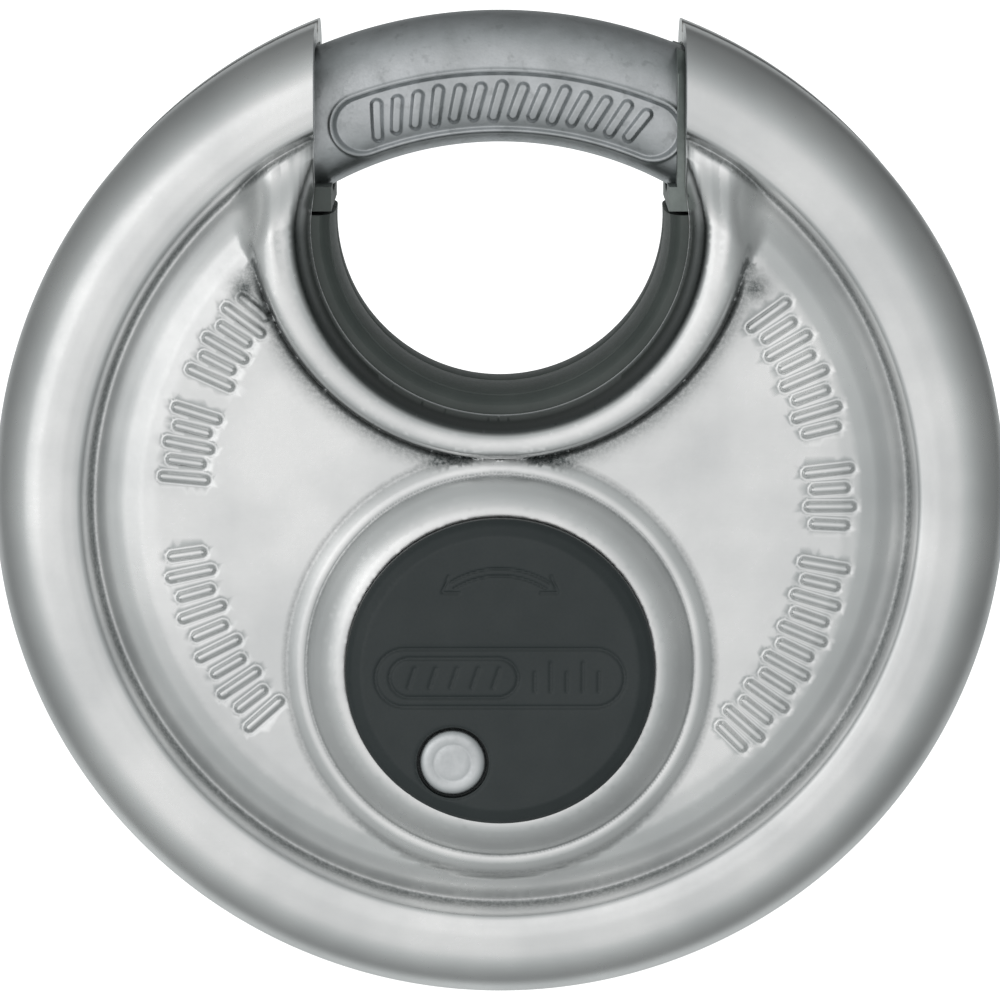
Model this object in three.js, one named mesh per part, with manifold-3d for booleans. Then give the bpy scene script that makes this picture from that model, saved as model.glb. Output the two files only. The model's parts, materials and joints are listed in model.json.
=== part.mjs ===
// Round disc padlock: two drawn stainless shells, a curved shackle that turns about the disc's axis, a rotary
// disc cylinder that drives it through a pin gear, and a swinging keyhole cover.
// Millimetres. +Z is up, -Y is the front, and the disc's axis runs along Y. Heights above the mid plane are
// called h: the front shell has y = -h and the rear shell y = +h. The finished group is moved so that its
// origin is the underside of the shackle's middle, where a hasp staple carries the padlock.
import * as THREE from "three";
import { mergeVertices } from "three/addons/utils/BufferGeometryUtils.js";
import Module from "manifold-3d";

const wasm = await Module();
wasm.setup();

// Driving dimensions
const BODY_R = 40; // outer radius of the case
const SHELL_WALL = 1.6;
const FIELD_H = 10.6; // height of the flat field of each shell
const GAP = 0.3; // space left between pieces that touch on the real lock
const SHACKLE_R = 32.9; // radius of the shackle bar's centreline
const BAR_R = 5;
const SHACKLE_TOE = -42; // ends of the closed shackle, in degrees clockwise from the top
const SHACKLE_HEEL = 196;
const THROAT_Z = 21.7; // centre of the round bottom of the throat
const THROAT_R = 14.8; // half-width of the cut through the shells
const LINER_R = 13; // clear radius of the throat inside its liner
const LINER_H = 7;
const LINER_TOP_Z = THROAT_Z + 0.9;
const LIP_H = 7.3; // depth to which the shells are turned in around the throat
const BEAD_Z = 23.3; // centre of the raised bead round the throat
const PLUG_Z = -12.5; // axis of the cylinder
const PIN_CIRCLE_R = 14.4; // driver pins, from the cylinder's axis
const PIN_R = 2.5;
const PIN_STEP = 45; // degrees between driver pins
const PIN_COUNT = 5;
const COVER_R = 12.1;
const COVER_BACK_H = 13;
const COVER_FRONT_H = 14.5;
const RIVET_AT = [-3.7, -7.05]; // x and z of the cover's rivet, from the cylinder's axis
const RIVET_HEAD_R = 2.63;
const DISC_COUNT = 5;
const DISC_PITCH = 1.9;
const DISC_R = 6.45;
const DISC_START_Y = -7.5;
const DISC_CODES = [36, 72, 18, 54, 90]; // degrees that each disc turns before its gate meets the sidebar
const SHACKLE_SWING = 76; // degrees from closed to open
const SIDEBAR_R = 0.62;
const SIDEBAR_IN_R = 7.4; // the sidebar's distance from the cylinder's axis when the shackle is open
const SIDEBAR_LIFT = 0.9; // how much further out it lies when the padlock is closed

// Sizes that follow from them
const NOTCH_CIRCLE_R = PIN_CIRCLE_R - PLUG_Z; // pitch circle of the shackle's notches, about the disc's axis
const NOTCH_STEP = (PIN_STEP * PIN_CIRCLE_R) / NOTCH_CIRCLE_R;
const PLUG_SWING = (SHACKLE_SWING * NOTCH_CIRCLE_R) / PIN_CIRCLE_R;
const SHACKLE_INNER_R = SHACKLE_R - BAR_R;
const PLUG = [0, PLUG_Z];
const FAR = 60; // beyond every face, for cutting bodies
const FINE = 48; // segments round a large ring
const MEDIUM = 28;
const COARSE = 18;
const SMALL = 12;
const BAR_SIDES = 16;

const degrees = (angle) => (angle * Math.PI) / 180;

// ---------- building blocks ----------

// A closed three.js geometry as a solid, with its faces turned outwards.
function solid(geometry) {
  const bare = new THREE.BufferGeometry().setAttribute("position", geometry.getAttribute("position"));
  bare.setIndex(geometry.index);
  const merged = mergeVertices(bare, 1e-4);
  const p = merged.attributes.position.array;
  const kept = [];
  let volume = 0;
  const corner = (i) => new THREE.Vector3().fromArray(p, 3 * i);
  for (let i = 0; i < merged.index.count; i += 3) {
    const [a, b, c] = merged.index.array.slice(i, i + 3);
    if (a === b || b === c || c === a) continue;
    kept.push([a, b, c]);
    volume += corner(a).dot(corner(b).cross(corner(c)));
  }
  const triVerts = new Uint32Array(kept.flatMap(([a, b, c]) => (volume < 0 ? [a, c, b] : [a, b, c])));
  return new wasm.Manifold(new wasm.Mesh({ numProp: 3, vertProperties: new Float32Array(p), triVerts }));
}

// A body turned about an axis along Y through (x, z), from its closed profile of [radius, y] points.
function turned(profile, [x, z] = [0, 0], segments = MEDIUM) {
  const points = [...profile, profile[0]].map(([r, y]) => new THREE.Vector2(r, y));
  return solid(new THREE.LatheGeometry(points, segments).translate(x, 0, z));
}

// A plain round bar or ring between two y values.
function ring(outer, inner, y0, y1, at, segments) {
  const profile = [
    [inner, y0],
    [outer, y0],
    [outer, y1],
    [inner, y1],
  ];
  return turned(profile, at, segments);
}

// A plate cut from a shape drawn in X and Z, between two y values.
function plate(shape, y0, y1, curveSegments = 12) {
  const geometry = new THREE.ExtrudeGeometry(shape, { depth: y1 - y0, bevelEnabled: false, curveSegments });
  return solid(indexed(geometry.rotateX(Math.PI / 2).translate(0, y1, 0)));
}

function box(x0, x1, y0, y1, z0, z1) {
  const geometry = new THREE.BoxGeometry(x1 - x0, y1 - y0, z1 - z0);
  return solid(geometry.translate((x0 + x1) / 2, (y0 + y1) / 2, (z0 + z1) / 2));
}

function indexed(geometry) {
  if (geometry.index) return geometry;
  return geometry.setIndex([...Array(geometry.getAttribute("position").count).keys()]);
}

const joined = (...bodies) => bodies.reduce((all, body) => all.add(body));
const cut = (body, ...tools) => tools.reduce((rest, tool) => rest.subtract(tool), body);

// Outline of the throat: a round bottom with two parallel sides that leave the disc at the top.
function throatShape(radius) {
  const shape = new THREE.Shape();
  shape.moveTo(-radius, FAR);
  shape.lineTo(-radius, THROAT_Z);
  shape.absarc(0, THROAT_Z, radius, Math.PI, 2 * Math.PI, false);
  shape.lineTo(radius, FAR);
  shape.closePath();
  return shape;
}

const throatCut = (radius, y0 = -FAR, y1 = FAR) => plate(throatShape(radius), y0, y1, FINE / 2);

// Points of an elliptical arc in a profile, from one angle to another in degrees.
function arc(r, h, radiusR, radiusH, from, to, steps) {
  return Array.from({ length: steps + 1 }, (_, i) => {
    const a = degrees(from + ((to - from) * i) / steps);
    return [r + radiusR * Math.cos(a), h + radiusH * Math.sin(a)];
  });
}

// The sector of the disc between two angles in degrees clockwise from the top, as a cutting body.
function sector(from, to) {
  const shape = new THREE.Shape();
  shape.moveTo(0, 0);
  const steps = Math.ceil((to - from) / 20);
  for (let i = 0; i <= steps; i++) {
    const a = degrees(from + ((to - from) * i) / steps);
    shape.lineTo(FAR * Math.sin(a), FAR * Math.cos(a));
  }
  shape.closePath();
  return plate(shape, -FAR, FAR);
}

// ---------- case ----------

const onSide = (profile, side) => profile.map(([r, h]) => [r, side * h]);

// Outer form of one shell: rim with a rounded edge, a groove, a rounded shoulder and the flat field.
const SHELL_OUTSIDE = [
  [0, GAP],
  [39, GAP],
  [BODY_R, 1.3],
  ...arc(35.7, 5.2, 4.3, 5.5, 0, 90, 4),
  [33.2, 10.65],
  [32.6, 10.4],
  [31.6, 9.5],
  [30.4, 10.15],
  [28.6, FIELD_H],
  [0, FIELD_H],
];

const SHELL_INSIDE = [
  [0, 0],
  [BODY_R - SHELL_WALL, 0],
  ...arc(34.6, 5, 3.8, 4.1, 0, 90, 2),
  [33, 9.05],
  [31.6, 7.9],
  [29.8, 8.6],
  [28.4, FIELD_H - SHELL_WALL],
  [0, FIELD_H - SHELL_WALL],
];

// The bead stays on the field, so it ends inside this form.
const BEAD_LIMIT = [
  [0, 9],
  [32.4, 9],
  [31.2, 10.3],
  [29.6, 12.6],
  [0, 12.6],
];

const BEAD = [
  [14.3, 9.2],
  [19.5, 9.2],
  [19.5, FIELD_H],
  [18.9, 11.5],
  [18.1, 12.1],
  [17.2, 12.3],
  [16.2, 12],
  [15.3, 11],
  [14.3, 10],
];

const REAR_VALLEY_LIMIT_R = 30.4;
const REAR_VALLEY = [
  [18.2, FIELD_H + 0.4],
  [18.5, 10.3],
  [19.5, 9.8],
  [20.5, 10.3],
  [20.8, FIELD_H + 0.4],
];

// Collar round the keyhole: a rounded ring that rises from the field.
const COLLAR_HOLE_R = 11.2;
const COLLAR_OUTSIDE = [
  [0, 9.2],
  [16.8, 9.2],
  [16.8, FIELD_H],
  [15.9, 10.85],
  [15.4, 11.4],
  [15.2, 12.1],
  [14.6, 12.55],
  [13.7, 12.75],
  [12, 12.6],
  [COLLAR_HOLE_R, 12.3],
  [0, 12.3],
];

const COLLAR_INSIDE = [
  [0, 8.5],
  [13.9, 8.5],
  [13.5, 11.1],
  [0, 11.1],
];

const discForm = (profile, side) => turned(onSide(profile, side), [0, 0], FINE);
const throatForm = (profile, side) => turned(onSide(profile, side), [0, BEAD_Z], FINE);

// Inside of one shell, less the lip that is turned in round the throat.
function hollow(side) {
  const depths = side < 0 ? [-FAR, -LIP_H] : [LIP_H, FAR];
  return cut(discForm(SHELL_INSIDE, side), throatCut(THROAT_R + SHELL_WALL, ...depths));
}

function frontShell() {
  const bead = throatForm(BEAD, -1).intersect(discForm(BEAD_LIMIT, -1));
  const collar = turned(onSide(COLLAR_OUTSIDE, -1), PLUG, FINE);
  const keyOpening = ring(COLLAR_HOLE_R, 0, -FAR, -8, PLUG, FINE);
  const collarInside = turned(onSide(COLLAR_INSIDE, -1), PLUG, MEDIUM);
  const outside = joined(discForm(SHELL_OUTSIDE, -1), bead, collar);
  return cut(outside, hollow(-1), collarInside, throatCut(THROAT_R), keyOpening);
}

function rearShell() {
  const limit = ring(REAR_VALLEY_LIMIT_R, 0, 0, FAR, [0, 0], FINE);
  const valley = throatForm(REAR_VALLEY, 1).intersect(limit);
  return cut(discForm(SHELL_OUTSIDE, 1), hollow(1), throatCut(THROAT_R), valley);
}

// The weld that fills the V between the two shells, all round the rim except across the throat.
function rimWeld() {
  const profile = [
    [39.25, 0],
    [BODY_R - 0.05, -0.8],
    [BODY_R, 0],
    [BODY_R - 0.05, 0.8],
  ];
  return cut(turned(profile, [0, 0], FINE), throatCut(THROAT_R));
}

// Die-cast halves inside the shells: they guide the shackle in a round channel and hold the cylinder.
const CORE_CHANNEL_R = BAR_R + 0.9;
const BUSH_CHANNEL_R = BAR_R + 0.7;
const CORE_FACE_H = 0.15; // half of the gap between the two cores

function coreProfile() {
  const channelStart = 180 - (Math.asin(CORE_FACE_H / CORE_CHANNEL_R) * 180) / Math.PI;
  const channel = arc(SHACKLE_R, 0, CORE_CHANNEL_R, CORE_CHANNEL_R, channelStart, 39, 6);
  return [
    [0, CORE_FACE_H],
    ...channel,
    [37.7, CORE_CHANNEL_R * Math.sin(degrees(39))],
    [37.7, 5.2],
    [36.6, 7.3],
    [34.4, 8.6],
    [33, 8.6],
    [31.6, 7.5],
    [29.8, 8.2],
    [28.4, 8.65],
    [0, 8.65],
  ];
}

const HOUSING_R = 10.6;
const HOUSING_BORE_R = 8.4;
const HOUSING_Y = [-8.9, 3.2];
const DRIVER_PLATE_Y = [5.4, 7.4];
const DRIVER_FRONT_Y = -2.8;
const DRIVER_ROOM_R = PIN_CIRCLE_R + PIN_R + 0.35;
const CORE_RIVET_AT = [
  [-21.5, 1],
  [21.5, 1],
];
const DOWEL_AT = [HOUSING_R + 0.15, PLUG_Z]; // keeps the housing from turning in the front core
const DOWEL_R = 1;

function core(side) {
  const tools = [
    throatCut(THROAT_R + SHELL_WALL + 0.2),
    ring(HOUSING_R + GAP, 0, -FAR, DRIVER_PLATE_Y[0], PLUG, MEDIUM),
    ring(DRIVER_ROOM_R, 0, DRIVER_FRONT_Y - 0.6, DRIVER_PLATE_Y[1] + 0.4, PLUG, MEDIUM),
    ring(6, 0, 0, FAR, PLUG, COARSE),
    ring(DOWEL_R + GAP, 0, -FAR, DRIVER_FRONT_Y, DOWEL_AT, SMALL),
    ...CORE_RIVET_AT.map((at) => ring(1.6 + GAP, 0, -FAR, FAR, at, SMALL)),
    ...CORE_RIVET_AT.map((at) => ring(3 + GAP, 0, side < 0 ? -FAR : 7, side < 0 ? -7 : FAR, at, SMALL)),
  ];
  return cut(turned(onSide(coreProfile(), side), [0, 0], FINE), ...tools);
}

function coreRivet(at) {
  const headed = [
    [0, -8.4],
    [3, -8.4],
    [3, -7.3],
    [1.6, -7.3],
    [1.6, 7.3],
    [3, 7.3],
    [3, 8.4],
    [0, 8.4],
  ];
  return turned(headed, at, SMALL);
}

// Moulded band that lines the throat below the shackle.
function throatLiner() {
  const outer = THROAT_R + SHELL_WALL - 0.1;
  const section = [
    [outer, -LINER_H],
    [THROAT_R - 0.3, -LINER_H],
    [LINER_R + 0.5, -LINER_H + 0.4],
    [LINER_R, -LINER_H + 1.2],
    [LINER_R, LINER_H - 1.2],
    [LINER_R + 0.5, LINER_H - 0.4],
    [THROAT_R - 0.3, LINER_H],
    [outer, LINER_H],
  ];
  return turned(section, [0, THROAT_Z], FINE).intersect(box(-FAR, FAR, -FAR, FAR, -FAR, LINER_TOP_Z));
}

// Bush that fills one mouth of the case round the shackle bar. Its foot stands on the liner's end. The right
// bush has a lip that shows beside the bar, and the left one stops inside the edge of the shells.
const BUSH_FOOT_X = 13.2;
const BUSH_LIP_X = { left: 15.1, right: 13.85 };
const BUSH_BACK_X = THROAT_R + SHELL_WALL - 0.1;
const BUSH_FOOT_TOP_Z = 24.8;

function shackleBush(name) {
  const side = name === "left" ? -1 : 1;
  const block = (x, z0, z1) => {
    const [x0, x1] = side < 0 ? [-BUSH_BACK_X, -x] : [x, BUSH_BACK_X];
    return box(x0, x1, -LINER_H, LINER_H, z0, z1);
  };
  const foot = block(BUSH_FOOT_X, LINER_TOP_Z + GAP, BUSH_FOOT_TOP_Z);
  const guide = block(BUSH_LIP_X[name], BUSH_FOOT_TOP_Z - 0.2, FAR);
  const roomR = BODY_R - SHELL_WALL - GAP;
  const roomProfile = [
    [0, -LINER_H],
    [roomR - 1.7, -LINER_H],
    [roomR, -LINER_H + 1.6],
    [roomR, LINER_H - 1.6],
    [roomR - 1.7, LINER_H],
    [0, LINER_H],
  ];
  const room = turned(roomProfile, [0, 0], FINE);
  return cut(joined(foot, guide).intersect(room), shackleRing(BUSH_CHANNEL_R, BAR_SIDES));
}

// ---------- shackle ----------

function shackleRing(barRadius, sides) {
  const section = arc(SHACKLE_R, 0, barRadius, barRadius, 0, 360 - 360 / sides, sides - 1);
  return turned(section, [0, 0], FINE);
}

// The notches that the driver's pins push: parallel-sided, with a round bottom.
function notch(angle) {
  const width = PIN_R + 0.15;
  const shape = new THREE.Shape();
  shape.moveTo(-width, 20);
  shape.lineTo(-width, NOTCH_CIRCLE_R);
  shape.absarc(0, NOTCH_CIRCLE_R, width, Math.PI, 0, true);
  shape.lineTo(width, 20);
  shape.closePath();
  const options = { depth: 2 * BAR_R, bevelEnabled: false, curveSegments: 6 };
  const geometry = new THREE.ExtrudeGeometry(shape, options).rotateX(Math.PI / 2).translate(0, BAR_R, 0);
  return solid(indexed(geometry.rotateY(degrees(angle))));
}

function shackle() {
  const bar = shackleRing(BAR_R, BAR_SIDES).intersect(sector(SHACKLE_TOE, SHACKLE_HEEL));
  const notches = Array.from({ length: PIN_COUNT }, (_, i) => notch(180 - i * NOTCH_STEP));
  return cut(bar, ...notches);
}

// ---------- cylinder ----------

const TANG_R = 3.9;
const TANG_FLAT = 2.9;

// A round bar with two flats, about the cylinder's axis.
function flattedBar(radius, flat, y0, y1) {
  const sides = box(-flat, flat, y0 - 1, y1 + 1, PLUG_Z - FAR, PLUG_Z + FAR);
  return ring(radius, 0, y0, y1, PLUG, COARSE).intersect(sides);
}

// Hardened plate behind the cover: its boss fills the collar and its flange sits behind it.
function facePlate() {
  const profile = [
    [3.8, -12.4],
    [10.9, -12.4],
    [10.9, -10.8],
    [13.1, -10.8],
    [13.1, -9.2],
    [3.8, -9.2],
  ];
  const rivetHole = ring(1.3 + GAP, 0, -FAR, -9.9, rivetAxis, SMALL);
  return cut(turned(profile, PLUG, MEDIUM), rivetHole);
}

// Groove in the housing's bore that the sidebar lies in when closed. Its floor rises as a cam in the opening
// direction, so the turning plug pushes the sidebar inwards, which only the right disc positions allow.
function sidebarGroove() {
  const halfWidth = 8; // degrees of the bore that the sidebar and its clearance take up on each side
  const step = 10;
  const floor = (angle) => {
    const turn = Math.max(angle - halfWidth, 0) / PLUG_SWING;
    return SIDEBAR_IN_R + SIDEBAR_R + SIDEBAR_LIFT * (1 - turn) + GAP;
  };
  const shape = new THREE.Shape();
  shape.moveTo(0, PLUG_Z);
  for (let angle = -halfWidth; angle <= PLUG_SWING; angle += step) {
    const a = degrees(angle);
    shape.lineTo(floor(angle) * Math.sin(a), PLUG_Z + floor(angle) * Math.cos(a));
  }
  shape.closePath();
  return plate(shape, -7.4, 2.2);
}

function cylinderHousing() {
  const tube = ring(HOUSING_R, HOUSING_BORE_R, ...HOUSING_Y, PLUG, MEDIUM);
  return cut(tube, sidebarGroove(), ring(DOWEL_R + GAP, 0, -FAR, DRIVER_FRONT_Y, DOWEL_AT, SMALL));
}

const cylinderDowel = () => ring(DOWEL_R, 0, -8.6, DRIVER_FRONT_Y - 0.5, DOWEL_AT, SMALL);

// Front disc of the plug, with the D-shaped keyway.
function keywayShape() {
  const shape = new THREE.Shape();
  shape.absarc(0, PLUG_Z, 3.2, degrees(-12), degrees(192), false);
  shape.closePath();
  return shape;
}

const keywayDisc = () => cut(ring(8.2, 0, -8.7, -7.8, PLUG, MEDIUM), plate(keywayShape(), -FAR, FAR));

// Carrier: a tube for the discs, slotted for the sidebar, with a flatted tang that turns the driver.
function discCarrier() {
  const profile = [
    [0, 2.2],
    [6.65, 2.2],
    [6.65, DISC_START_Y - 0.15],
    [8.2, DISC_START_Y - 0.15],
    [8.2, 3.1],
    [0, 3.1],
  ];
  const tang = flattedBar(TANG_R, TANG_FLAT, 3, 8.3);
  const clipGroove = cut(ring(6, 0, 7.55, 8.05, PLUG, COARSE), ring(2.6, 0, 7.5, 8.1, PLUG, COARSE));
  const sidebarSlot = box(-0.85, 0.85, -7.2, 2, PLUG_Z + 5, PLUG_Z + 9);
  return cut(joined(turned(profile, PLUG, MEDIUM), tang), clipGroove, sidebarSlot);
}

// One detainer disc: its gate lies the code angle short of the sidebar.
function detainerDisc(i) {
  const y0 = DISC_START_Y + i * DISC_PITCH;
  const body = cut(ring(DISC_R, 0, y0, y0 + 1.2, PLUG, COARSE), plate(keywayShape(), -FAR, FAR));
  const gate = new THREE.BoxGeometry(1.8, 4, 4).translate(0, y0, 5.3 + 2);
  return cut(body, solid(gate.rotateY(degrees(-DISC_CODES[i])).translate(0, 0, PLUG_Z)));
}

function discSpacer(i) {
  const y0 = DISC_START_Y + i * DISC_PITCH + 1.35;
  const gate = box(-0.9, 0.9, y0 - 1, y0 + 1, PLUG_Z + 5.3, PLUG_Z + 8);
  return cut(ring(DISC_R, 3.5, y0, y0 + 0.4, PLUG, COARSE), gate);
}

const sidebar = () => ring(SIDEBAR_R, 0, -7.1, 1.9, [0, PLUG_Z + SIDEBAR_IN_R + SIDEBAR_LIFT], SMALL);

// Driver: a plate behind the shackle with pins that reach forward into the shackle's notches.
function shackleDriver() {
  const disc = ring(PIN_CIRCLE_R + PIN_R, 0, ...DRIVER_PLATE_Y, PLUG, MEDIUM);
  const hub = ring(7.8, 0, 3.6, DRIVER_PLATE_Y[0] + 0.5, PLUG, COARSE);
  const pins = Array.from({ length: PIN_COUNT }, (_, i) => {
    const a = degrees(180 - i * PIN_STEP);
    const at = [PIN_CIRCLE_R * Math.sin(a), PLUG_Z + PIN_CIRCLE_R * Math.cos(a)];
    return ring(PIN_R, 0, DRIVER_FRONT_Y, DRIVER_PLATE_Y[0] + 0.5, at, SMALL);
  });
  return cut(joined(disc, hub, ...pins), flattedBar(TANG_R + GAP, TANG_FLAT + GAP, 0, FAR));
}

function driverClip() {
  const opening = box(-1.4, 1.4, 7, 9, PLUG_Z, PLUG_Z + 9);
  return cut(ring(5.2, 2.9, 7.58, 8.02, PLUG, COARSE), opening);
}

// ---------- keyhole cover ----------

const rivetAxis = [RIVET_AT[0], PLUG_Z + RIVET_AT[1]];

function keyholeCover() {
  const profile = [
    [0, COVER_BACK_H],
    [COVER_R, COVER_BACK_H],
    [COVER_R, COVER_BACK_H + 0.5],
    [COVER_R - 0.35, COVER_BACK_H + 0.95],
    [COVER_R - 1.25, COVER_FRONT_H],
    [0, COVER_FRONT_H],
  ];
  const seat = ring(RIVET_HEAD_R + 0.2, 0, -FAR, -COVER_BACK_H - 0.7, rivetAxis, COARSE);
  const hole = ring(1.3 + 0.15, 0, -FAR, 0, rivetAxis, COARSE);
  return cut(turned(onSide(profile, -1), PLUG, FINE), seat, hole);
}

function coverRivet() {
  const profile = [
    [0, -COVER_FRONT_H - 0.2],
    [RIVET_HEAD_R - 0.4, -COVER_FRONT_H - 0.2],
    [RIVET_HEAD_R, -COVER_FRONT_H + 0.1],
    [RIVET_HEAD_R, -COVER_BACK_H - 0.8],
    [1.3, -COVER_BACK_H - 0.8],
    [1.3, -10.2],
    [0, -10.2],
  ];
  return turned(profile, rivetAxis, COARSE);
}

const coverWasher = () => ring(2.9, 1.6, -COVER_BACK_H + 0.1, -12.5, rivetAxis, COARSE);

// ---------- scene ----------

const FINISHES = {
  stainless: { color: 0xd9dad8, roughness: 0.32, metalness: 1 },
  shackle_steel: { color: 0x9aa0a4, roughness: 0.4, metalness: 1 },
  black_plastic: { color: 0x3a4341, roughness: 0.55, metalness: 0 },
  rivet_steel: { color: 0xc6cacb, roughness: 0.38, metalness: 1 },
  zinc: { color: 0x8f9497, roughness: 0.6, metalness: 1 },
  brass: { color: 0xb59a55, roughness: 0.4, metalness: 1 },
  hardened_steel: { color: 0x6d7174, roughness: 0.45, metalness: 1 },
};

function mesh(name, body, finish) {
  const { vertProperties, triVerts } = body.getMesh();
  const geometry = new THREE.BufferGeometry();
  geometry.setAttribute("position", new THREE.BufferAttribute(new Float32Array(vertProperties), 3));
  geometry.setIndex(new THREE.BufferAttribute(new Uint32Array(triVerts), 1));
  geometry.computeVertexNormals();
  const part = new THREE.Mesh(geometry, new THREE.MeshStandardMaterial(FINISHES[finish]));
  part.name = name;
  return part;
}

const padlock = new THREE.Group();
padlock.name = "disc_padlock";
padlock.add(
  mesh("front_shell", frontShell(), "stainless"),
  mesh("rear_shell", rearShell(), "stainless"),
  mesh("rim_weld", rimWeld(), "stainless"),
  mesh("core_front", core(-1), "zinc"),
  mesh("core_rear", core(1), "zinc"),
  mesh("core_rivet_left", coreRivet(CORE_RIVET_AT[0]), "rivet_steel"),
  mesh("core_rivet_right", coreRivet(CORE_RIVET_AT[1]), "rivet_steel"),
  mesh("throat_liner", throatLiner(), "black_plastic"),
  mesh("shackle_bush_left", shackleBush("left"), "black_plastic"),
  mesh("shackle_bush_right", shackleBush("right"), "black_plastic"),
  mesh("shackle", shackle(), "shackle_steel"),
  mesh("face_plate", facePlate(), "hardened_steel"),
  mesh("cylinder_housing", cylinderHousing(), "brass"),
  mesh("cylinder_dowel", cylinderDowel(), "hardened_steel"),
  mesh("keyway_disc", keywayDisc(), "hardened_steel"),
  mesh("disc_carrier", discCarrier(), "brass"),
  mesh("sidebar", sidebar(), "hardened_steel"),
  mesh("shackle_driver", shackleDriver(), "hardened_steel"),
  mesh("driver_clip", driverClip(), "hardened_steel"),
  mesh("keyhole_cover", keyholeCover(), "black_plastic"),
  mesh("cover_rivet", coverRivet(), "rivet_steel"),
  mesh("cover_washer", coverWasher(), "hardened_steel"),
);
for (let i = 0; i < DISC_COUNT; i++) {
  padlock.add(mesh(`detainer_disc_${i + 1}`, detainerDisc(i), "brass"));
  if (i < DISC_COUNT - 1) padlock.add(mesh(`disc_spacer_${i + 1}`, discSpacer(i), "hardened_steel"));
}
padlock.position.set(0, 0, -SHACKLE_INNER_R);

export default padlock;
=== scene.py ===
"""Disc padlock: detailed pieces, materials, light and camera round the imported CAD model.

Inside this script lengths are in millimetres about the middle of the round case: x to the right, z up, and
h is the height above the mid plane, so the front has y = -h and the back y = +h. Blender gets metres in the
row frame.
"""

import json
import math
import random

import bpy
import numpy as np
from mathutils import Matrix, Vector
from mathutils.geometry import delaunay_2d_cdt


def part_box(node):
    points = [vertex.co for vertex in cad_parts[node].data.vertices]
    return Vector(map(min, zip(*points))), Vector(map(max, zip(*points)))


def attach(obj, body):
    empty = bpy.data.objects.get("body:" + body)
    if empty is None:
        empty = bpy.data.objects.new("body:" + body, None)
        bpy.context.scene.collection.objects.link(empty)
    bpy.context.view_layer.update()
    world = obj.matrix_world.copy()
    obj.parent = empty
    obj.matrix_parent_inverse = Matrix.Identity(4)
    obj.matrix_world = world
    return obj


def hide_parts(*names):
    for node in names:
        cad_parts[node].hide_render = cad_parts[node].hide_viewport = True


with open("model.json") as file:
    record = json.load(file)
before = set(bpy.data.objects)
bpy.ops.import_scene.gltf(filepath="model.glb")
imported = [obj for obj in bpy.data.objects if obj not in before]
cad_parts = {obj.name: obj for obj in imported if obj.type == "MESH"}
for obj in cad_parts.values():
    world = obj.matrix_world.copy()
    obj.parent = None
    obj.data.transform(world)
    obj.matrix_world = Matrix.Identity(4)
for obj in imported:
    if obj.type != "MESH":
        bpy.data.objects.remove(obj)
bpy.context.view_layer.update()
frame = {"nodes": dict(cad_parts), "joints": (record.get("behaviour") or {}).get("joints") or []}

MM = 0.001
joints = {j["name"]: j for j in frame["joints"]}


def joint_mm(name):
    return np.array(joints[name]["pos_m"], float) / MM


DISC = joint_mm("shackle_swing")
PLUG_Z = (joint_mm("plug_turn") - DISC)[2]
RIVET_X, RIVET_Z = (joint_mm("cover_swing") - DISC)[[0, 2]]
CASE_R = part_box("front_shell")[1].x / MM  # 40

# Sizes shared with the CAD part
FIELD_H = 10.6
WALL = 1.6
THROAT_Z, THROAT_R = 21.7, 14.8
MOUTH_R = 14.45  # half-width of the throat at its mouth, a little less than at its round bottom
BEAD_Z, VALLEY_R = 23.3, 19.5
LIP_H = 7.3
HOLE_R = 11.2
COVER_R, COVER_BACK_H, COVER_FRONT_H = 12.1, 13.0, 14.5
RIVET_R = 2.63
SHACKLE_R, BAR_R = 33.02, 5.17
TOE, HEEL = -42.0, 196.0  # the shackle's two ends, in degrees from its top
NOTCH_CIRCLE_R, NOTCH_HALF, NOTCH_STEP = 26.9, 2.65, 45 * 14.4 / 26.9


# ---------- helpers for shapes ----------


def ramp(low, high, value):
    t = np.clip((value - low) / (high - low), 0, 1)
    return t * t * (3 - 2 * t)


def rounded_path(points, blur, step=0.02):
    """A polyline with its corners rounded off, as three columns: length along it, radius and height."""
    p = np.array(points, float)
    at = np.concatenate([[0], np.cumsum(np.hypot(*np.diff(p, axis=0).T))])
    t = np.linspace(0, at[-1], int(at[-1] / step))
    half = int(3 * blur / step)
    kernel = np.exp(-0.5 * (np.arange(-half, half + 1) * step / blur) ** 2)
    kernel /= kernel.sum()

    def soften(values):
        padded = np.concatenate(
            [2 * values[0] - values[half:0:-1], values, 2 * values[-1] - values[-2 : -half - 2 : -1]]
        )
        return np.convolve(padded, kernel, "valid")

    r, h = (soften(np.interp(t, at, column)) for column in p.T)
    length = np.concatenate([[0], np.cumsum(np.hypot(np.diff(r), np.diff(h)))])
    return length, r, h


def ellipse_arc(r, h, a, b, start, stop, steps):
    turn = np.radians(np.linspace(start, stop, steps))
    return [(r + a * math.cos(t), h + b * math.sin(t)) for t in turn]


def differences(surface, u, v, step=0.01):
    """Normals of a surface (u, v) -> points, from small steps in both directions."""
    du = surface(u + step, v) - surface(u - step, v)
    dv = surface(u, v + step) - surface(u, v - step)
    n = np.cross(du, dv)
    return n / np.maximum(np.linalg.norm(n, axis=1, keepdims=True), 1e-12)


def capsule(x, z, x0, z0, x1, z1):
    """Distance from points to the line between two ends."""
    ax, az = x - x0, z - z0
    bx, bz = x1 - x0, z1 - z0
    t = np.clip((ax * bx + az * bz) / (bx * bx + bz * bz), 0, 1)
    return np.hypot(ax - t * bx, az - t * bz)


def to_world(points, side=-1):
    """(x, h, z) in millimetres about the disc's middle, as metres in the row frame."""
    out = np.array(points, float)
    out[:, 1] *= side
    return (out + DISC) * MM


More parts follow.
